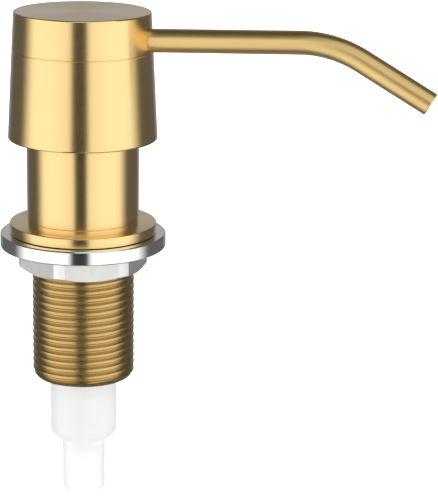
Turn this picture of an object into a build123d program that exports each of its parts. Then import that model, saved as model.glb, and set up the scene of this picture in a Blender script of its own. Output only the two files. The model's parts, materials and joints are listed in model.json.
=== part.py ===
from build123d import *
import os
from math import cos, radians, sin, sqrt, tan

# Deck-mounted soap pump. Millimetres. +Z is up, the spout points along +X, and the
# origin is on the pump's axis in the plane of the deck, under the flange.

# Clearances, each on the radius or along the axis
PRESS = 0.02          # pieces pressed, glued or snapped together
RUNNING = 0.05        # pieces that slide or turn in one another
SEAL = 0.02           # a seal and the wall that it wipes
PASSING = 0.3         # pieces that only pass each other

# Threaded shank and its flange
flange_t = 2.7
flange_rim = 1.45         # beyond the gasket's groove
flange_top_edge = 0.25
flange_bottom_edge = 0.15
seat_h = 0.9              # low step that the sleeve stands on
seat_edge = 0.15
chamber_gap = 1.2         # between the shank's bore and the pump chamber
thread_r = 14.0           # M28
thread_pitch = 2.0
thread_depth = 1.23
thread_crest = 0.25       # flat at the top of a turn
thread_flank = 30.0       # each flank's slope, in degrees
thread_turns = 19
thread_neck = 1.6         # plain neck between the flange and the first turn
thread_lead_in = 1.3      # bevel at the shank's lower end
spigot_h = 6.0            # stub that the sleeve is pressed on

# Rubber ring let into the underside of the flange
gasket_off_thread = 1.4
gasket_w = 3.2
gasket_groove = 1.2
gasket_proud = 0.1

# Sleeve above the deck
sleeve_r = 15.25
sleeve_wall = 1.5
sleeve_h = 23.9
sleeve_edge = 0.3
sleeve_foot_edge = 0.2

# Clamp washer and lock nut below the deck
washer_beyond_flange = 2.6
washer_t = 3.85
washer_edge = 0.3
nut_wall = 2.0            # from the thread to a flat
nut_corner = 1.6          # a corner's height over the flats
nut_h = 6.25
nut_corner_angle = 24.5   # where a corner stands, in degrees from +X
nut_chamfer_angle = 30.0
nut_mouth = 0.6

# Pump chamber and its neck
chamber_r = 9.2
chamber_wall = 1.3
chamber_corner = 1.2
shoulder_t = 1.5
neck_r = 5.95
neck_fillet = 1.3
neck_end = 75.5           # deck to the end of the neck
neck_edge = 1.6
inlet_passage = 1.5       # from the dip tube's stop to the inlet seat
dip_tube_r = 4.0
dip_tube_depth = 12.6
vent_r = 1.0
vent_below_top = 9.0

# Collar that closes the top of the sleeve and guides the stem
collar_set_in = 0.25      # the collar's rim inside the sleeve's
collar_t = 1.5
collar_edge = 0.4
collar_plug = 10.0        # length inside the sleeve
collar_web = 3.0
oring_section_r = 0.8
oring_below_seat = 4.2
chamber_gasket_t = 1.0
wiper_r = 6.0
wiper_t = 1.4
wiper_lip = 0.5

# Stem and piston
stroke = 16.0
stem_r = 3.75
stem_bore_r = 1.6
stem_stop_r = 6.5
stem_stop_t = 2.0
stem_slot = 1.0
stem_slot_h = 1.5
piston_top = -11.0        # top of the piston's hub, at rest
piston_h = 15.0
piston_hub_r = 5.4
piston_hub_h = 5.0
piston_socket = 6.0       # how far the stem goes in
piston_land = 2.5
piston_groove_r = 5.8
piston_mouth_r = 2.5
piston_mouth = 2.2
seal_web = 1.0
seal_lip = 1.0            # each lip's height

# Valve balls and their seats
outlet_ball_r = 2.0
outlet_passage_r = 1.2
outlet_pocket_r = 2.5
outlet_lift = 1.2
inlet_ball_r = 3.0
inlet_passage_r = 1.8
inlet_pocket_r = 3.6
inlet_lift = 2.0
inlet_seat_below_floor = 4.1
ball_gap = 0.02           # between a resting ball and its seat

# Cage over the inlet ball, and the return spring that stands on it
cage_base_t = 1.5
cage_wall = 1.1
cage_roof_t = 1.0
cage_window = 3.0
cage_hole_r = 1.2
spring_wire_r = 0.45
spring_coil_r = 6.3
spring_turns = 6

# Pump head
press_stop_gap = 1.5      # left between head and collar at full press
cap_wall = 3.0
cap_roof = 2.0
cap_spigot_h = 3.5
cap_edge = 0.4
seam_edge = 0.12
seam_groove = 0.2         # height and depth of the shadow line under the cap
skirt_h = 24.12
skirt_r = 20.26           # at the lower edge
skirt_wall = 1.6
skirt_edge = 0.5
head_taper = 2.94         # degrees

# Insert that joins the stem to the spout inside the head
insert_disc_t = 2.0
insert_hub_r = 7.0
insert_boss_wall = 1.8    # round the spout
insert_boss_length = 14.6
stem_socket = 4.1

# Spout tube
spout_r = 3.175           # quarter-inch tube
spout_wall = 0.8
spout_off_seam = 0.19     # from the seam to the spout's underside
spout_headroom = 1.89     # from the spout to the inside of the cap's roof
spout_rise = 2.0          # degrees
spout_start = 4.8
spout_straight = 59.1     # pump's axis to the start of the bend
spout_bend_r = 31.0
spout_bend = 31.7         # degrees
spout_end = 21.2
spout_tip_edge = 0.3
spout_seal_at = 9.5
spout_seal_r = 0.5        # ring's section

# Heights and radii that follow
shank_bore_r = chamber_r + chamber_gap
gasket_in_r = thread_r + gasket_off_thread
gasket_out_r = gasket_in_r + gasket_w
flange_r = gasket_out_r + flange_rim
washer_r = flange_r + washer_beyond_flange
nut_flat_r = thread_r + nut_wall
nut_corner_r = nut_flat_r + nut_corner
sleeve_bore_r = sleeve_r - sleeve_wall
collar_r = sleeve_r - collar_set_in
sleeve_foot = flange_t + seat_h
sleeve_top = sleeve_foot + sleeve_h
collar_top = sleeve_top + collar_t
collar_bottom = sleeve_top - collar_plug
web_bottom = collar_top - collar_web
chamber_top = web_bottom - chamber_gasket_t
chamber_bore_r = chamber_r - chamber_wall
inlet_seat_z = -neck_end + dip_tube_depth + inlet_passage
floor_z = inlet_seat_z + inlet_seat_below_floor
shoulder_z = floor_z - shoulder_t
shank_length = thread_neck + thread_turns * thread_pitch + thread_lead_in
washer_top = -gasket_proud - RUNNING
washer_bottom = washer_top - washer_t
nut_top = washer_bottom - PRESS
piston_bottom = piston_top - piston_h
stem_bottom = piston_top - piston_socket
outlet_ball_top = stem_bottom - PASSING / 2 - outlet_lift
outlet_ball_z = outlet_ball_top - outlet_ball_r
outlet_seat_z = outlet_ball_z - ball_gap - sqrt(2) * outlet_ball_r + outlet_passage_r
inlet_ball_z = inlet_seat_z - inlet_passage_r + sqrt(2) * inlet_ball_r + ball_gap
cage_roof_z = inlet_ball_z + inlet_ball_r + inlet_lift + PASSING
cage_r = inlet_pocket_r + cage_wall
spring_foot = floor_z + cage_base_t
spigot_bottom = collar_top + stroke + press_stop_gap
seam_z = spigot_bottom + cap_spigot_h
cap_h = spout_off_seam + 2 * spout_r + spout_headroom + cap_roof
head_top = seam_z + cap_h
skirt_bottom = seam_z - skirt_h
seam_r = skirt_r - skirt_h * tan(radians(head_taper))
insert_bottom = spigot_bottom + PRESS
spout_wall_z = seam_z + spout_off_seam + spout_r / cos(radians(spout_rise))
spout_z = spout_wall_z - seam_r * tan(radians(spout_rise))
insert_boss_r = spout_r + PRESS + insert_boss_wall
stem_top = insert_bottom + stem_socket


def turned(*outline):
    """A solid turned about the pump's axis from an outline of (radius, height) points."""
    edge = Polyline(*[(r, 0, z) for r, z in outline], close=True)
    return revolve(make_face(edge), Axis.Z)


def ring(inner_r, outer_r, bottom, top):
    """A plain ring about the pump's axis."""
    return turned((inner_r, bottom), (outer_r, bottom), (outer_r, top), (inner_r, top))


def along_spout(distance):
    """Where the spout's straight run is, this far from the pump's axis."""
    rise = radians(spout_rise)
    return Vector(distance * cos(rise), 0, spout_z + distance * sin(rise))


def spout_plane(distance):
    """The plane square to the spout's straight run at that distance."""
    rise = radians(spout_rise)
    return Plane(origin=along_spout(distance), x_dir=(0, 1, 0), z_dir=(cos(rise), 0, sin(rise)))


def spout_rod(radius, start, end):
    """A round rod on the spout's straight run."""
    return extrude(spout_plane(start) * Circle(radius), end - start)


def head_r(z):
    """The head's outer radius at a height: one cone over cap and skirt."""
    return skirt_r - (z - skirt_bottom) * tan(radians(head_taper))


# ---- Fixed below and above the deck -------------------------------------------------

def threaded_shank():
    """Flange, seat and spigot for the sleeve, and hollow M28 shank, turned from one piece."""
    root_r = thread_r - thread_depth
    flank = thread_depth * tan(radians(thread_flank))
    root = thread_pitch - thread_crest - 2 * flank
    outline = [(shank_bore_r, -shank_length), (root_r, -shank_length)]
    outline.append((thread_r, -shank_length + thread_lead_in))
    for turn in range(thread_turns):
        z = -shank_length + thread_lead_in + turn * thread_pitch
        outline.append((thread_r, z + thread_crest))
        outline.append((root_r, z + thread_crest + flank))
        outline.append((root_r, z + thread_crest + flank + root))
        if turn < thread_turns - 1:
            outline.append((thread_r, z + thread_pitch))
    outline += [
        (root_r, 0),
        (gasket_in_r, 0),
        (gasket_in_r, gasket_groove),
        (gasket_out_r, gasket_groove),
        (gasket_out_r, 0),
        (flange_r - flange_bottom_edge, 0),
        (flange_r, flange_bottom_edge),
        (flange_r, flange_t - flange_top_edge),
        (flange_r - flange_top_edge, flange_t),
        (sleeve_r, flange_t),
        (sleeve_r, sleeve_foot - seat_edge),
        (sleeve_r - seat_edge, sleeve_foot),
        (sleeve_bore_r - PRESS, sleeve_foot),
        (sleeve_bore_r - PRESS, sleeve_foot + spigot_h),
        (shank_bore_r, sleeve_foot + spigot_h),
    ]
    return turned(*outline)


def deck_gasket():
    """Flat rubber ring that seals the flange to the deck."""
    return ring(gasket_in_r + PRESS, gasket_out_r - PRESS, -gasket_proud, gasket_groove)


def mount_sleeve():
    """Plain tube that stands on the flange's seat and holds the pump."""
    return turned(
        (sleeve_bore_r, sleeve_foot),
        (sleeve_r - sleeve_foot_edge, sleeve_foot),
        (sleeve_r, sleeve_foot + sleeve_foot_edge),
        (sleeve_r, sleeve_top - sleeve_edge),
        (sleeve_r - sleeve_edge, sleeve_top),
        (sleeve_bore_r, sleeve_top),
    )


def clamp_washer():
    """Thick turned washer that bears on the underside of the deck."""
    return turned(
        (thread_r + PASSING, washer_bottom),
        (washer_r - washer_edge, washer_bottom),
        (washer_r, washer_bottom + washer_edge),
        (washer_r, washer_top - washer_edge),
        (washer_r - washer_edge, washer_top),
        (thread_r + PASSING, washer_top),
    )


def lock_nut():
    """Hexagon nut with turned corners and a bevelled mouth at each end."""
    bottom = nut_top - nut_h
    drop = nut_corner * tan(radians(nut_chamfer_angle))
    bore = thread_r + RUNNING
    blank = turned(
        (bore, bottom + nut_mouth),
        (bore + nut_mouth, bottom),
        (nut_flat_r, bottom),
        (nut_corner_r, bottom + drop),
        (nut_corner_r, nut_top),
        (bore + nut_mouth, nut_top),
        (bore, nut_top - nut_mouth),
    )
    hexagon = RegularPolygon(nut_flat_r, 6, major_radius=False, rotation=nut_corner_angle)
    return blank & extrude(Pos(0, 0, bottom) * hexagon, nut_h)


# ---- The pump that drops into the sleeve --------------------------------------------

def pump_chamber():
    """Long moulded cylinder with the inlet seat and the dip tube's socket at its foot."""
    neck_top = shoulder_z - neck_fillet
    body = turned(
        (dip_tube_r, -neck_end),
        (neck_r, -neck_end),
        (neck_r, neck_top),
        (neck_r + neck_fillet, shoulder_z),
        (chamber_r - chamber_corner, shoulder_z),
        (chamber_r, shoulder_z + chamber_corner),
        (chamber_r, chamber_top),
        (chamber_bore_r, chamber_top),
        (chamber_bore_r, floor_z),
        (inlet_pocket_r, floor_z),
        (inlet_pocket_r, inlet_seat_z + inlet_pocket_r - inlet_passage_r),
        (inlet_passage_r, inlet_seat_z),
        (inlet_passage_r, -neck_end + dip_tube_depth),
        (dip_tube_r, -neck_end + dip_tube_depth),
    )
    rims = body.edges().filter_by(GeomType.CIRCLE).sort_by(Axis.Z)[:2]
    body = fillet(rims.sort_by(SortBy.RADIUS)[-1], neck_edge)
    vent = Plane.YZ * Pos(0, chamber_top - vent_below_top) * Circle(vent_r)
    return body - extrude(vent, chamber_r + PASSING)


def pump_collar():
    """Closure that sits on the sleeve, holds the chamber and guides the stem."""
    plug_r = sleeve_bore_r - 2 * RUNNING
    groove_r = sleeve_bore_r - SEAL - 2 * oring_section_r - SEAL
    groove_z = sleeve_top - oring_below_seat
    socket_r = chamber_r + PRESS
    return turned(
        (socket_r, collar_bottom),
        (plug_r, collar_bottom),
        (plug_r, groove_z - oring_section_r - SEAL),
        (groove_r, groove_z - oring_section_r - SEAL),
        (groove_r, groove_z + oring_section_r + SEAL),
        (plug_r, groove_z + oring_section_r + SEAL),
        (plug_r, sleeve_top),
        (collar_r, sleeve_top),
        (collar_r, collar_top - collar_edge),
        (collar_r - collar_edge, collar_top),
        (wiper_r, collar_top),
        (wiper_r, collar_top - wiper_t),
        (stem_r + RUNNING, collar_top - wiper_t),
        (stem_r + RUNNING, web_bottom),
        (socket_r, web_bottom),
    )


def collar_oring():
    """Rubber ring that grips the sleeve's bore."""
    centre_r = sleeve_bore_r - SEAL - oring_section_r
    return Pos(0, 0, sleeve_top - oring_below_seat) * Torus(centre_r, oring_section_r)


def chamber_gasket():
    """Flat ring between the chamber's rim and the collar."""
    return ring(chamber_bore_r, chamber_r, chamber_top, web_bottom)


def stem_wiper():
    """Lip ring that wipes the stem."""
    bottom = collar_top - wiper_t
    return turned(
        (stem_r + SEAL, bottom),
        (wiper_r - PRESS, bottom),
        (wiper_r - PRESS, collar_top),
        (stem_r + SEAL + wiper_lip, collar_top),
        (stem_r + SEAL, collar_top - wiper_lip),
    )


def ball_cage():
    """Cage pressed into the chamber's foot: it keeps the ball in and carries the spring."""
    base = ring(inlet_pocket_r, chamber_bore_r - PRESS, floor_z, spring_foot)
    posts = ring(inlet_pocket_r, cage_r, spring_foot, cage_roof_z)
    windows = Box(2 * chamber_bore_r, cage_window, cage_roof_z - spring_foot)
    windows += Box(cage_window, 2 * chamber_bore_r, cage_roof_z - spring_foot)
    posts -= Pos(0, 0, (cage_roof_z + spring_foot) / 2) * windows
    roof = ring(cage_hole_r, cage_r, cage_roof_z, cage_roof_z + cage_roof_t)
    return base + posts + roof


def inlet_ball():
    """Ball that closes the inlet while the piston goes down."""
    return Pos(0, 0, inlet_ball_z) * Sphere(inlet_ball_r)


def return_spring():
    """Spring that lifts the piston, between the cage and the piston."""
    foot = spring_foot + spring_wire_r + PRESS
    head = piston_bottom - spring_wire_r - PRESS
    coil = Pos(0, 0, foot) * Helix((head - foot) / spring_turns, head - foot, spring_coil_r)
    wire = Plane(origin=coil @ 0, z_dir=coil % 0) * Circle(spring_wire_r)
    return sweep(wire, coil, is_frenet=True)


# ---- What goes up and down ----------------------------------------------------------

def pump_stem():
    """Hollow stem with the ring that stops it under the collar."""
    stop_top = web_bottom - PASSING
    stem = turned(
        (stem_bore_r, stem_bottom),
        (stem_r, stem_bottom),
        (stem_r, stop_top - stem_stop_t),
        (stem_stop_r, stop_top - stem_stop_t),
        (stem_stop_r, stop_top),
        (stem_r, stop_top),
        (stem_r, stem_top),
        (stem_bore_r, stem_top),
    )
    slots = Box(2 * stem_r, stem_slot, stem_slot_h) + Box(stem_slot, 2 * stem_r, stem_slot_h)
    return stem - Pos(0, 0, stem_bottom + stem_slot_h / 2) * slots


def piston():
    """Piston with the outlet seat in it and a groove for its seal."""
    land_r = chamber_bore_r - RUNNING
    seal_top = piston_top - piston_hub_h - piston_land
    pocket_z = outlet_seat_z + outlet_pocket_r - outlet_passage_r
    return turned(
        (piston_mouth_r, piston_bottom),
        (land_r, piston_bottom),
        (land_r, piston_bottom + piston_land),
        (piston_groove_r, piston_bottom + piston_land),
        (piston_groove_r, seal_top),
        (land_r, seal_top),
        (land_r, piston_top - piston_hub_h),
        (piston_hub_r, piston_top - piston_hub_h),
        (piston_hub_r, piston_top),
        (stem_r + PRESS, piston_top),
        (stem_r + PRESS, stem_bottom),
        (outlet_pocket_r, stem_bottom),
        (outlet_pocket_r, pocket_z),
        (outlet_passage_r, outlet_seat_z),
        (outlet_passage_r, piston_bottom + piston_mouth),
        (piston_mouth_r, piston_bottom + piston_mouth),
    )


def piston_seal():
    """Rubber cup ring in the piston's groove, with a lip at each end."""
    bottom = piston_bottom + piston_land + PRESS
    top = piston_top - piston_hub_h - piston_land - PRESS
    lip_r = chamber_bore_r - SEAL
    return turned(
        (piston_groove_r + PRESS, bottom),
        (lip_r, bottom),
        (lip_r, bottom + seal_lip),
        (lip_r - seal_web, bottom + 2 * seal_lip),
        (lip_r - seal_web, top - 2 * seal_lip),
        (lip_r, top - seal_lip),
        (lip_r, top),
        (piston_groove_r + PRESS, top),
    )


def outlet_ball():
    """Ball that closes the piston while it comes up."""
    return Pos(0, 0, outlet_ball_z) * Sphere(outlet_ball_r)


# ---- The head -----------------------------------------------------------------------

def head_cap():
    """Top of the head: a turned cap with a spigot below and a side hole for the spout."""
    bore_r = seam_r - cap_wall
    spigot_r = seam_r - skirt_wall - PRESS
    outer = turned(
        (0, spigot_bottom),
        (spigot_r, spigot_bottom),
        (spigot_r, seam_z),
        (seam_r - seam_edge, seam_z),
        (head_r(seam_z + seam_edge), seam_z + seam_edge),
        (head_r(head_top), head_top),
        (0, head_top),
    )
    outer = fillet(outer.edges().filter_by(GeomType.CIRCLE).sort_by(Axis.Z)[-1], cap_edge)
    hollow = turned(
        (0, spigot_bottom), (bore_r, spigot_bottom), (bore_r, head_top - cap_roof), (0, head_top - cap_roof)
    )
    return outer - hollow - spout_rod(spout_r + PRESS, spout_start, spout_straight)


def head_skirt():
    """Lower shell of the head, which comes down over the sleeve."""
    register_r = seam_r - skirt_wall
    skirt = turned(
        (head_r(skirt_bottom) - skirt_wall, skirt_bottom),
        (head_r(skirt_bottom), skirt_bottom),
        (head_r(seam_z - seam_groove), seam_z - seam_groove),
        (seam_r - seam_groove, seam_z - seam_groove),
        (seam_r - seam_groove, seam_z),
        (register_r, seam_z),
        (register_r, spigot_bottom - PASSING),
    )
    rims = skirt.edges().filter_by(GeomType.CIRCLE).sort_by(Axis.Z)[:2]
    return fillet(rims.sort_by(SortBy.RADIUS)[-1], skirt_edge)


def spout_tube():
    """Bent tube: a straight run, one bend down and a short straight end."""
    rise = radians(spout_rise)
    start = along_spout(spout_start)
    bend = along_spout(spout_straight)
    run = Line((start.X, start.Z), (bend.X, bend.Z))
    arc = JernArc(run @ 1, (cos(rise), sin(rise)), spout_bend_r, -spout_bend)
    end = Line(arc @ 1, arc @ 1 + (arc % 1) * spout_end)
    path = Plane.XZ * (run + arc + end)
    section = spout_plane(spout_start) * (Circle(spout_r) - Circle(spout_r - spout_wall))
    tube = sweep(section, path)
    tip = Plane.XZ * Pos(end @ 1)
    rim = tube.edges().filter_by(GeomType.CIRCLE).sort_by_distance(tip.position)[:2]
    return fillet(rim.sort_by(SortBy.RADIUS)[-1], spout_tip_edge)


def head_insert():
    """Moulded insert: a disc snapped into the cap, a hub for the stem, a boss for the spout."""
    roof = head_top - cap_roof - PASSING
    disc_r = seam_r - cap_wall - PRESS
    hub = turned((0, insert_bottom), (insert_hub_r, insert_bottom), (insert_hub_r, roof), (0, roof))
    disc = turned(
        (0, insert_bottom),
        (disc_r, insert_bottom),
        (disc_r, insert_bottom + insert_disc_t),
        (0, insert_bottom + insert_disc_t),
    )
    room = turned((0, insert_bottom), (disc_r, insert_bottom), (disc_r, roof), (0, roof))
    body = hub + disc + (spout_rod(insert_boss_r, 0, insert_boss_length) & room)
    body -= Pos(0, 0, insert_bottom) * Cylinder(
        stem_r + RUNNING, stem_socket + PASSING, align=(Align.CENTER, Align.CENTER, Align.MIN)
    )
    body -= Pos(0, 0, stem_top) * Cylinder(
        stem_bore_r, spout_z - stem_top, align=(Align.CENTER, Align.CENTER, Align.MIN)
    )
    body -= spout_rod(stem_bore_r, -stem_bore_r, spout_start)
    body -= spout_rod(spout_r + PRESS, spout_start, insert_boss_length + PASSING)
    groove = 2 * spout_seal_r + 2 * PRESS
    return body - spout_rod(spout_r + groove, spout_seal_at - groove / 2, spout_seal_at + groove / 2)


def spout_seal():
    """Rubber ring round the spout inside the insert."""
    return spout_plane(spout_seal_at) * Torus(spout_r + PRESS + spout_seal_r, spout_seal_r)


PIECES = (
    threaded_shank,
    deck_gasket,
    mount_sleeve,
    clamp_washer,
    lock_nut,
    pump_chamber,
    pump_collar,
    collar_oring,
    chamber_gasket,
    stem_wiper,
    ball_cage,
    inlet_ball,
    return_spring,
    pump_stem,
    piston,
    piston_seal,
    outlet_ball,
    head_cap,
    head_skirt,
    spout_tube,
    head_insert,
    spout_seal,
)

os.makedirs("parts", exist_ok=True)
for piece in PIECES:
    export_step(piece(), f"parts/{piece.__name__}.step")
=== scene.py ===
import json
from math import cos, degrees, floor, radians, sin, tau

import bmesh
import bpy
from mathutils import Matrix, Vector


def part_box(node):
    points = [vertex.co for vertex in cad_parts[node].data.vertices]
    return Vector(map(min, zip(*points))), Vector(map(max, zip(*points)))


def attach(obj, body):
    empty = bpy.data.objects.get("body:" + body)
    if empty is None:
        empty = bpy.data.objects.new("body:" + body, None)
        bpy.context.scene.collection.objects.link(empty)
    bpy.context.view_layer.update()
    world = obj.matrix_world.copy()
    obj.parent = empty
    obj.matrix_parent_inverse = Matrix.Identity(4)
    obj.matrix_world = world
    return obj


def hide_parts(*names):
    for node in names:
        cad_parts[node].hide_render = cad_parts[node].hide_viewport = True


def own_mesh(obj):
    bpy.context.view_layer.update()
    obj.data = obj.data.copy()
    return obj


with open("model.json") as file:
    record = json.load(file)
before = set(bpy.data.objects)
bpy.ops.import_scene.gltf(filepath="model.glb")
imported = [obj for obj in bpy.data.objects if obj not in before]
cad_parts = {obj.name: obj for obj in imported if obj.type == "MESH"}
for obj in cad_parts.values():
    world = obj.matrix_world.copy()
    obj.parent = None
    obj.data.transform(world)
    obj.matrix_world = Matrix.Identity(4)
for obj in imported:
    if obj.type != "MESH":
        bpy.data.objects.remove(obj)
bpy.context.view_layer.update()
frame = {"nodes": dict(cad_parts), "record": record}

# Deck-mounted soap pump in brushed gold. Metres, in the frame of the CAD model: the pump's
# axis is Z, the deck's top is z = 0 and the spout points along +X.

MM = 0.001
NODES = frame["nodes"]


# ---- Materials ------------------------------------------------------------------------

class Shader:
    """A node material built up link by link."""

    def __init__(self, name):
        self.material = bpy.data.materials.new(name)
        self.material.use_nodes = True
        self.nodes = self.material.node_tree.nodes
        self.links = self.material.node_tree.links
        self.surface = self.nodes["Principled BSDF"]

    def node(self, kind, **inputs):
        """A new node. Names of inputs use _ for spaces; an output links, anything else is set."""
        made = self.nodes.new(kind)
        for name, value in inputs.items():
            self.feed(made, name.replace("_", " "), value)
        return made

    def feed(self, node, name, value):
        """Links an output to an input, or sets the input's own value."""
        socket = node.inputs[int(name)] if name.isdigit() else node.inputs[name]
        if isinstance(value, bpy.types.NodeSocket):
            self.links.new(value, socket)
        else:
            socket.default_value = value

    def set(self, **inputs):
        """Values or links for the surface shader."""
        for name, value in inputs.items():
            self.feed(self.surface, name.replace("_", " "), value)

    def math(self, operation, a, b=0.0, c=0.0):
        """One arithmetic step."""
        made = self.nodes.new("ShaderNodeMath")
        made.operation = operation
        for slot, value in enumerate((a, b, c)):
            self.feed(made, str(slot), value)
        return made.outputs[0]

    def place(self):
        """The point on the object, in metres, in the object's own frame."""
        return self.node("ShaderNodeTexCoord").outputs["Object"]

    def round_place(self, along=1.0, around=1.0, outward=1.0):
        """The point as (angle about Z, height, radius), each stretched, for marks round the axis."""
        xyz = self.node("ShaderNodeSeparateXYZ", Vector=self.place())
        turn = self.math("ARCTAN2", xyz.outputs[1], xyz.outputs[0])
        x2 = self.math("MULTIPLY", xyz.outputs[0], xyz.outputs[0])
        radius = self.math("SQRT", self.math("MULTIPLY_ADD", xyz.outputs[1], xyz.outputs[1], x2))
        return self.node(
            "ShaderNodeCombineXYZ",
            X=self.math("MULTIPLY", turn, around),
            Y=self.math("MULTIPLY", xyz.outputs[2], along),
            Z=self.math("MULTIPLY", radius, outward),
        ).outputs[0]

    def noise(self, vector, scale, detail=3.0, roughness=0.55):
        """Noise from 0 to 1."""
        made = self.node("ShaderNodeTexNoise", Vector=vector, Scale=scale)
        made.inputs["Detail"].default_value = detail
        made.inputs["Roughness"].default_value = roughness
        return made.outputs["Factor"] if "Factor" in made.outputs else made.outputs["Fac"]

    def ramp(self, value, low, high, start=0.0, end=1.0):
        """value carried from start..end to low..high."""
        made = self.node("ShaderNodeMapRange", Value=value)
        made.inputs["From Min"].default_value = start
        made.inputs["From Max"].default_value = end
        made.inputs["To Min"].default_value = low
        made.inputs["To Max"].default_value = high
        return made.outputs["Result"]

    def blend(self, factor, dark, light):
        """A colour between two."""
        made = self.nodes.new("ShaderNodeMix")
        made.data_type = "RGBA"
        self.links.new(factor, made.inputs["Factor"])
        made.inputs["A"].default_value = (*dark, 1)
        made.inputs["B"].default_value = (*light, 1)
        return made.outputs["Result"]

    def bump(self, height, depth, strength=1.0):
        """A bump of that depth in metres."""
        made = self.node("ShaderNodeBump", Height=height, Strength=strength, Distance=depth)
        return made.outputs["Normal"]


COAT_IOR = 1.65
SLOW_TONES = 60.0         # scale of the metals' slow changes of tone
FINE_SPREAD = (0.3, 0.7)  # the part of a fine noise's range that roughness follows


def lacquer(shader, roughness, weight):
    """A thin clear coat over the metal, which greys it where it is seen at a slant."""
    shader.set(Coat_Weight=weight, Coat_IOR=COAT_IOR, Coat_Roughness=roughness)


def turned_metal(name, colours, roughness, lines, anisotropic=0.0, depth=4.0e-7, coat=0.0, weight=1.0):
    """Metal brushed on a lathe: fine lines round the axis, with slow changes of tone and gloss."""
    s = Shader(name)
    fine = s.noise(s.round_place(along=lines, around=1.5, outward=lines), 1.0, 4.0, 0.7)
    slow = s.noise(s.place(), SLOW_TONES, 2.0)
    s.set(
        Metallic=1.0,
        Base_Color=s.blend(s.math("MULTIPLY_ADD", fine, 0.6, s.math("MULTIPLY", slow, 0.4)), *colours),
        Roughness=s.ramp(fine, *roughness, *FINE_SPREAD),
        Normal=s.bump(fine, depth),
    )
    if anisotropic:
        tangent = s.nodes.new("ShaderNodeTangent")
        tangent.direction_type = "RADIAL"
        tangent.axis = "Z"
        s.set(Anisotropic=anisotropic, Anisotropic_Rotation=0.25, Tangent=tangent.outputs[0])
    if coat:
        lacquer(s, coat, weight)
    return s.material


def along_metal(name, colours, roughness, lines, coat, weight):
    """Metal brushed along its length."""
    s = Shader(name)
    stretch = s.node("ShaderNodeVectorMath", **{"0": s.place(), "1": (90.0, lines, lines)})
    stretch.operation = "MULTIPLY"
    fine = s.noise(stretch.outputs[0], 1.0, 4.0, 0.7)
    slow = s.noise(s.place(), SLOW_TONES, 2.0)
    s.set(
        Metallic=1.0,
        Base_Color=s.blend(s.math("MULTIPLY_ADD", fine, 0.5, s.math("MULTIPLY", slow, 0.5)), *colours),
        Roughness=s.ramp(fine, *roughness, *FINE_SPREAD),
        Normal=s.bump(fine, 3.0e-7),
    )
    lacquer(s, coat, weight)
    return s.material


def cast_metal(name, colours, roughness, depth):
    """Plated metal over a cast face: fine grain and a few broad waves."""
    s = Shader(name)
    grain = s.noise(s.place(), 1500.0, 3.0, 0.6)
    waves = s.noise(s.place(), 240.0, 2.0)
    s.set(
        Metallic=1.0,
        Base_Color=s.blend(waves, *colours),
        Roughness=s.ramp(grain, *roughness, *FINE_SPREAD),
        Normal=s.bump(s.math("MULTIPLY_ADD", grain, 0.3, waves), depth),
    )
    return s.material


def plastic(name, colours, roughness, subsurface=0.0, transmission=0.0, depth=1.0e-6):
    """Moulded plastic with a faint grain and slow changes of tone."""
    s = Shader(name)
    grain = s.noise(s.place(), 1200.0, 2.0)
    slow = s.noise(s.place(), 90.0, 2.0)
    s.set(
        Base_Color=s.blend(slow, *colours),
        Roughness=s.ramp(grain, *roughness, *FINE_SPREAD),
        Normal=s.bump(grain, depth),
        IOR=1.5,
    )
    if subsurface:
        s.set(Subsurface_Weight=subsurface, Subsurface_Radius=(1.0, 1.0, 1.0), Subsurface_Scale=0.002)
    if transmission:
        s.set(Transmission_Weight=transmission)
    return s.material


# Each finish's darker and lighter tone
GOLD = ((0.88, 0.605, 0.230), (0.96, 0.685, 0.288))
DULL_GOLD = ((0.78, 0.54, 0.198), (0.86, 0.615, 0.248))
DARK_GOLD = ((0.52, 0.362, 0.132), (0.61, 0.432, 0.166))
BRIGHT_NICKEL = ((0.90, 0.90, 0.89), (0.95, 0.95, 0.94))
DULL_NICKEL = ((0.84, 0.84, 0.82), (0.97, 0.97, 0.95))
STEEL = ((0.56, 0.56, 0.56), (0.70, 0.70, 0.69))
MILK = ((0.96, 0.97, 0.97), (0.99, 0.99, 0.99))
WHITE = ((0.86, 0.86, 0.84), (0.92, 0.92, 0.90))
BLACK = ((0.012, 0.012, 0.013), (0.03, 0.03, 0.032))
PALE_GREY = ((0.66, 0.66, 0.62), (0.76, 0.76, 0.72))
MATERIALS = {
    "brushed_gold": turned_metal("brushed_gold", GOLD, (0.21, 0.27), 5000.0, anisotropic=0.72, coat=0.22),
    "spout_gold": along_metal("spout_gold", DULL_GOLD, (0.29, 0.37), 4200.0, coat=0.28, weight=0.5),
    "thread_gold": turned_metal("thread_gold", DARK_GOLD, (0.22, 0.30), 3000.0, coat=0.3, weight=0.6),
    "polished_nickel": turned_metal("polished_nickel", BRIGHT_NICKEL, (0.10, 0.15), 7000.0),
    "cast_nickel": cast_metal("cast_nickel", DULL_NICKEL, (0.40, 0.52), depth=8.0e-6),
    "milky_plastic": plastic("milky_plastic", MILK, (0.30, 0.38), subsurface=0.15, transmission=0.45),
    "white_plastic": plastic("white_plastic", WHITE, (0.28, 0.40), subsurface=0.1),
    "black_rubber": plastic("black_rubber", BLACK, (0.5, 0.7), depth=6.0e-6),
    "clear_rubber": plastic("clear_rubber", PALE_GREY, (0.35, 0.5), subsurface=0.2),
    "stainless": cast_metal("stainless", STEEL, (0.12, 0.2), depth=1.0e-6),
}
# Nodes whose finish differs from that of their slot
SPECIAL = {"spout_tube": "spout_gold"}


def dress_cad_nodes():
    """Every CAD node gets its slot's material."""
    for row in frame["record"]["subparts"]:
        node = NODES[row["node"]]
        material = MATERIALS[SPECIAL.get(row["node"], row["material_slot"])]
        node.data.materials.clear()
        node.data.materials.append(material)


# ---- The shank, with its thread as a true helix --------------------------------------------

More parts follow.
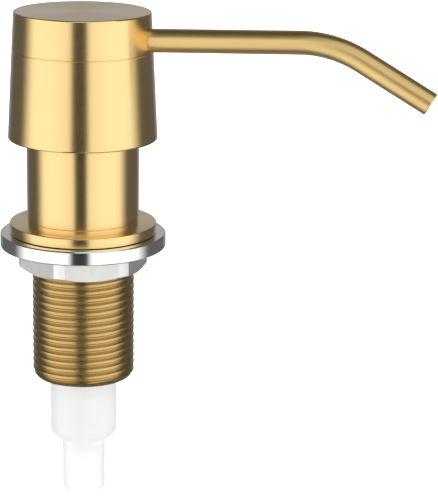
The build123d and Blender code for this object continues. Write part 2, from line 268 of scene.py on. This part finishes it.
SHANK_LOW, SHANK_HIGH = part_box("threaded_shank")
SHANK_END = SHANK_LOW.z
SPIGOT_TOP = SHANK_HIGH.z
FLANGE_R = SHANK_HIGH.x
FLANGE_T = 2.7 * MM
SEAT_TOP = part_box("mount_sleeve")[0].z
SEAT_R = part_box("mount_sleeve")[1].x
GASKET_GAP = 0.02 * MM    # between the gasket and its groove
GASKET_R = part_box("deck_gasket")[1].x + GASKET_GAP
GASKET_IN_R = 15.4 * MM
GASKET_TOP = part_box("deck_gasket")[1].z
SPIGOT_R = 13.73 * MM
SHANK_BORE_R = 10.4 * MM
THREAD_R = 14.0 * MM
THREAD_DEPTH = 0.84 * MM
THREAD_PITCH = 2.0 * MM
THREAD_TOP = -1.6 * MM
THREAD_LEAD_IN = 1.3 * MM
THREAD_START = 0.41       # turns by which the crest has begun at the shank's end
ROOT_R = THREAD_R - THREAD_DEPTH
# One turn from crest to crest: share of the pitch, share of the depth
THREAD_FORM = (
    (0.0, 0.90), (0.03, 0.985), (0.08, 1.0), (0.20, 1.0), (0.32, 1.0), (0.37, 0.985),
    (0.40, 0.90), (0.63, 0.07), (0.66, 0.01), (0.70, 0.0), (0.74, 0.01), (0.77, 0.07),
)
THREAD_COLUMNS = 96
FLANGE_COLUMNS = 160
SPARE_TURNS = 2           # drawn past each end, where thread_point cuts them short
GROOVE_EDGE = 0.1 * MM
FLANGE_EDGE = 0.15 * MM
TOP_EDGE = 0.3 * MM
WELD_DISTANCE = 0.002 * MM
SHARP_ANGLE = radians(40)


def thread_height(share):
    """The thread's height over its root, as a share of its depth, at a share of the pitch."""
    points = THREAD_FORM + ((1.0, THREAD_FORM[0][1]),)
    for (a, low), (b, high) in zip(points, points[1:]):
        if share <= b:
            return low + (high - low) * (share - a) / (b - a)
    return points[-1][1]


def thread_point(turn, z):
    """(radius, z) on the thread's skin: cut short at both ends and fading in and out there."""
    z = min(max(z, SHANK_END), THREAD_TOP)
    phase = (z - SHANK_END) / THREAD_PITCH - turn - THREAD_START
    full = thread_height(phase - floor(phase))
    fade = min(z - SHANK_END, THREAD_TOP - z) / THREAD_LEAD_IN
    return ROOT_R + THREAD_DEPTH * min(full, max(fade, 0.0)), z


def thread_outline(turn):
    """The threaded shank's closed outline at a turn from 0 to 1 about the axis."""
    turns = int((THREAD_TOP - SHANK_END) / THREAD_PITCH) + 1
    outline = [(SHANK_BORE_R, THREAD_TOP), (SHANK_BORE_R, SHANK_END)]
    for k in range(-SPARE_TURNS, turns + SPARE_TURNS):
        for share, _ in THREAD_FORM:
            outline.append(thread_point(turn, SHANK_END + (k + share + turn + THREAD_START) * THREAD_PITCH))
    return outline


def rounded(corners, steps=4):
    """An outline of (r, z, radius) corners, each rounded by a smooth curve of that size."""
    outline = []
    for n, (r, z, radius) in enumerate(corners):
        if not radius:
            outline.append((r, z))
            continue
        corner = Vector((r, z))
        before = Vector(corners[n - 1][:2])
        after = Vector(corners[(n + 1) % len(corners)][:2])
        start = corner + (before - corner).normalized() * radius
        end = corner + (after - corner).normalized() * radius
        for step in range(steps + 1):
            t = step / steps
            outline.append(tuple(start * (1 - t) ** 2 + corner * 2 * t * (1 - t) + end * t ** 2))
    return outline


def flange_outline(turn):
    """The flange's and spigot's closed outline, the same all the way round."""
    return rounded([
        (SHANK_BORE_R, THREAD_TOP, 0),
        (ROOT_R, THREAD_TOP, 0),
        (ROOT_R, 0, 0),
        (GASKET_IN_R, 0, GROOVE_EDGE),
        (GASKET_IN_R, GASKET_TOP, 0),
        (GASKET_R, GASKET_TOP, 0),
        (GASKET_R, 0, GROOVE_EDGE),
        (FLANGE_R, 0, FLANGE_EDGE),
        (FLANGE_R, FLANGE_T, TOP_EDGE),
        (SEAT_R, FLANGE_T, 0),
        (SEAT_R, SEAT_TOP, FLANGE_EDGE),
        (SPIGOT_R, SEAT_TOP, 0),
        (SPIGOT_R, SPIGOT_TOP, TOP_EDGE),
        (SHANK_BORE_R, SPIGOT_TOP, TOP_EDGE),
    ])


def revolved(name, outline, columns):
    """A closed solid swept once round the axis from an outline that may change as it turns."""
    rows = [outline(n / columns) for n in range(columns + 1)]
    points = []
    for n, row in enumerate(rows):
        angle = tau * n / columns
        points += [(r * cos(angle), r * sin(angle), z) for r, z in row]
    size = len(rows[0])
    faces = []
    for n in range(columns):
        for k in range(size):
            after = (k + 1) % size
            faces.append((n * size + k, (n + 1) * size + k, (n + 1) * size + after, n * size + after))
    mesh = bpy.data.meshes.new(name)
    mesh.from_pydata(points, [], faces)
    shape = bmesh.new()
    shape.from_mesh(mesh)
    bmesh.ops.remove_doubles(shape, verts=shape.verts, dist=WELD_DISTANCE)
    bmesh.ops.recalc_face_normals(shape, faces=shape.faces)
    shape.to_mesh(mesh)
    shape.free()
    mesh.shade_smooth()
    mesh.set_sharp_from_angle(angle=SHARP_ANGLE)
    made = bpy.data.objects.new(name, mesh)
    bpy.context.collection.objects.link(made)
    return made


def shank():
    """The flange and the threaded shank stand for the CAD shank, each with its own finish."""
    for name, outline, columns, slot in (
        ("shank_flange", flange_outline, FLANGE_COLUMNS, "brushed_gold"),
        ("shank_thread", thread_outline, THREAD_COLUMNS, "thread_gold"),
    ):
        made = revolved(name, outline, columns)
        made.data.materials.append(MATERIALS[slot])
        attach(made, "base")
        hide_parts("threaded_shank")


# ---- The return spring, a copy of the CAD spring on the pump's body ---------------------------

def spring():
    """The spring on its seat on the ball cage, a copy of the CAD spring's mesh on the pump's body."""
    made = bpy.data.objects.new("spring", NODES["return_spring"].data.copy())
    bpy.context.collection.objects.link(made)
    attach(made, "pump")
    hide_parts("return_spring")
    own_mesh(made)


# ---- Light, floor and camera ------------------------------------------------------------

CAMERA_AZIMUTH = 16.0     # degrees from -Y towards +X
CAMERA_DISTANCE = 0.5457  # from the pump's axis
CAMERA_HEIGHT = 0.1431    # above the deck's plane
CAMERA_TURN = 3.92        # degrees to the right of the axis
CAMERA_DOWN = 15.17
CAMERA_ROLL = 0.84
CAMERA_LENS = 149.0
CAMERA_SENSOR = 36.0


def camera():
    """The camera, a little above and to the front right of the pump."""
    data = bpy.data.cameras.new("camera")
    data.lens = CAMERA_LENS
    data.sensor_width = CAMERA_SENSOR
    data.clip_start = 0.01
    made = bpy.data.objects.new("camera", data)
    bpy.context.collection.objects.link(made)
    side = radians(CAMERA_AZIMUTH)
    heading = radians(CAMERA_AZIMUTH - CAMERA_TURN)
    down = radians(CAMERA_DOWN)
    roll = radians(CAMERA_ROLL)
    ahead = Vector((-sin(heading) * cos(down), cos(heading) * cos(down), -sin(down)))
    level = Vector((cos(heading), sin(heading), 0))
    above = level.cross(ahead)
    right = level * cos(roll) + above * sin(roll)
    up = above * cos(roll) - level * sin(roll)
    turn = Matrix((right, up, -ahead)).transposed().to_4x4()
    place = Vector((CAMERA_DISTANCE * sin(side), -CAMERA_DISTANCE * cos(side), CAMERA_HEIGHT))
    made.matrix_world = Matrix.Translation(place) @ turn
    bpy.context.scene.camera = made


# Directions are in degrees: sideways from the camera's direction, and above the horizon. An _EDGE
# is the width over which a light fades at that side.
GAP_MIDDLE = -4.9
GAP_HALF = 8.8
GAP_EDGE = 8.0
GAP_TOP = 10.0
GAP_TOP_EDGE = 20.0
GAP_TOP_LIGHT = 0.75      # the boxes' light over the gap's top, as a share of the rest
GAP_DIM = 0.27            # the room's light in the gap, as a share of the rest
BOX_MIDDLE = -3.75
BOX_END = 77.0
BOX_EDGE = 31.0
BOX_TOP = 24.0
BOX_TOP_EDGE = 24.0
BOX_FOOT = -36.0
BOX_FOOT_EDGE = 42.0
BOX_CREST = 55.0          # where the boxes are brightest, from the gap
BOX_LOW = 1.33
BOX_HIGH = 1.56
ROOM_LIGHT = 0.15
ROOM_TOP = 80.0
ROOM_TOP_EDGE = 45.0
ROOM_TOP_DIM = 0.45       # the room's light overhead, as a share of the rest
REAR_START = 145.0
REAR_EDGE = 15.0
REAR_LIGHT = 0.37
REAR_TOP = 60.0
REAR_TOP_EDGE = 55.0
REAR_FOOT = -12.0
REAR_FOOT_EDGE = 22.0
REAR_LOW = 0.6            # the rear light below the horizon, as a share of the rest
TOP_MIDDLE = 30.0
TOP_HALF = 46.0
TOP_SIDE_EDGE = 20.0
TOP_FOOT = 26.0
TOP_FOOT_EDGE = 8.0
TOP_END = 84.0
TOP_END_EDGE = 10.0
TOP_LIGHT = 0.9
SOFT_LIGHT = 1.4          # even light that dull and see-through surfaces get instead


def studio():
    """Two tall soft boxes either side of a dark gap, in a dim room with a light behind and one above."""
    world = bpy.data.worlds.new("studio")
    bpy.context.scene.world = world
    world.use_nodes = True
    world.cycles.sampling_method = "NONE"
    nodes, links = world.node_tree.nodes, world.node_tree.links
    nodes.clear()

    def new(kind):
        return nodes.new(kind)

    def math(operation, *values):
        made = new("ShaderNodeMath")
        made.operation = operation
        for slot, value in enumerate(values):
            if isinstance(value, bpy.types.NodeSocket):
                links.new(value, made.inputs[slot])
            else:
                made.inputs[slot].default_value = value
        return made.outputs[0]

    def step(value, start, end, low=0.0, high=1.0):
        """Rises smoothly from low at start to high at end."""
        made = new("ShaderNodeMapRange")
        made.interpolation_type = "SMOOTHSTEP"
        links.new(value, made.inputs["Value"])
        for name, number in (("From Min", start), ("From Max", end), ("To Min", low), ("To Max", high)):
            made.inputs[name].default_value = number
        return made.outputs["Result"]

    ray = new("ShaderNodeSeparateXYZ")
    links.new(new("ShaderNodeTexCoord").outputs["Generated"], ray.inputs[0])
    x, y, z = ray.outputs
    side = radians(CAMERA_AZIMUTH)
    towards = math("SUBTRACT", math("MULTIPLY", x, sin(side)), math("MULTIPLY", y, cos(side)))
    right = math("ADD", math("MULTIPLY", x, cos(side)), math("MULTIPLY", y, sin(side)))
    angle = math("MULTIPLY", math("ARCTAN2", right, towards), degrees(1))
    height = math("MULTIPLY", math("ARCSINE", z), degrees(1))
    off_gap = math("ABSOLUTE", math("SUBTRACT", angle, GAP_MIDDLE))
    off_middle = math("ABSOLUTE", math("SUBTRACT", angle, BOX_MIDDLE))
    beside_gap = step(off_gap, GAP_HALF, GAP_HALF + GAP_EDGE)
    over_gap = step(height, GAP_TOP, GAP_TOP + GAP_TOP_EDGE, 0.0, GAP_TOP_LIGHT)
    beside_gap = math("MAXIMUM", beside_gap, over_gap)
    boxes = math("MULTIPLY", beside_gap, step(off_middle, BOX_END + BOX_EDGE, BOX_END))
    boxes = math("MULTIPLY", boxes, step(height, BOX_TOP + BOX_TOP_EDGE, BOX_TOP))
    boxes = math("MULTIPLY", boxes, step(height, BOX_FOOT - BOX_FOOT_EDGE, BOX_FOOT))
    box_light = step(off_gap, GAP_HALF, BOX_CREST, BOX_LOW, BOX_HIGH)
    rear = step(math("ABSOLUTE", angle), REAR_START, REAR_START + REAR_EDGE, 0.0, REAR_LIGHT)
    rear = math("MULTIPLY", rear, step(height, REAR_FOOT, REAR_FOOT + REAR_FOOT_EDGE, REAR_LOW, 1.0))
    rear = math("MULTIPLY", rear, step(height, REAR_TOP, REAR_TOP - REAR_TOP_EDGE))
    off_top = math("ABSOLUTE", math("SUBTRACT", angle, TOP_MIDDLE))
    top = step(off_top, TOP_HALF + TOP_SIDE_EDGE, TOP_HALF, 0.0, TOP_LIGHT)
    top = math("MULTIPLY", top, step(height, TOP_FOOT, TOP_FOOT + TOP_FOOT_EDGE))
    top = math("MULTIPLY", top, step(height, TOP_END, TOP_END - TOP_END_EDGE))
    room = step(height, ROOM_TOP, ROOM_TOP - ROOM_TOP_EDGE, ROOM_TOP_DIM, 1.0)
    room = math("MULTIPLY", ROOM_LIGHT, room)
    room = math("MULTIPLY", room, step(off_gap, GAP_HALF, GAP_HALF + GAP_EDGE, GAP_DIM, 1.0))
    room = math("ADD", math("ADD", room, top), rear)
    past_boxes = math("MULTIPLY", room, math("SUBTRACT", 1.0, boxes))
    light = math("ADD", math("MULTIPLY", boxes, box_light), past_boxes)
    path = new("ShaderNodeLightPath")
    soft = math("MAXIMUM", path.outputs["Is Transmission Ray"], path.outputs["Is Diffuse Ray"])
    sharp = math("MULTIPLY", light, math("SUBTRACT", 1.0, soft))
    level = math("ADD", math("MULTIPLY", soft, SOFT_LIGHT), sharp)
    level = math("MAXIMUM", level, path.outputs["Is Camera Ray"])
    background = new("ShaderNodeBackground")
    links.new(level, background.inputs["Strength"])
    links.new(background.outputs[0], new("ShaderNodeOutputWorld").inputs[0])


TABLE_HALF = 6.0
TABLE_GAP = 0.0001        # below the chamber's neck
TABLE_GLOW = 0.75


def light_table():
    """A plain pale light table under the pump."""
    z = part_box("pump_chamber")[0].z - TABLE_GAP
    corners = [(-1, -1), (1, -1), (1, 1), (-1, 1)]
    mesh = bpy.data.meshes.new("light_table")
    mesh.from_pydata([(x * TABLE_HALF, y * TABLE_HALF, z) for x, y in corners], [], [(0, 1, 2, 3)])
    made = bpy.data.objects.new("light_table", mesh)
    bpy.context.collection.objects.link(made)
    s = Shader("pale_floor")
    s.set(Base_Color=(0.9, 0.9, 0.9, 1), Roughness=0.9)
    s.set(Emission_Color=(1, 1, 1, 1), Emission_Strength=TABLE_GLOW)
    mesh.materials.append(s.material)
    made.visible_glossy = False


bpy.context.scene.view_settings.view_transform = "Standard"
dress_cad_nodes()
shank()
spring()
studio()
light_table()
camera()
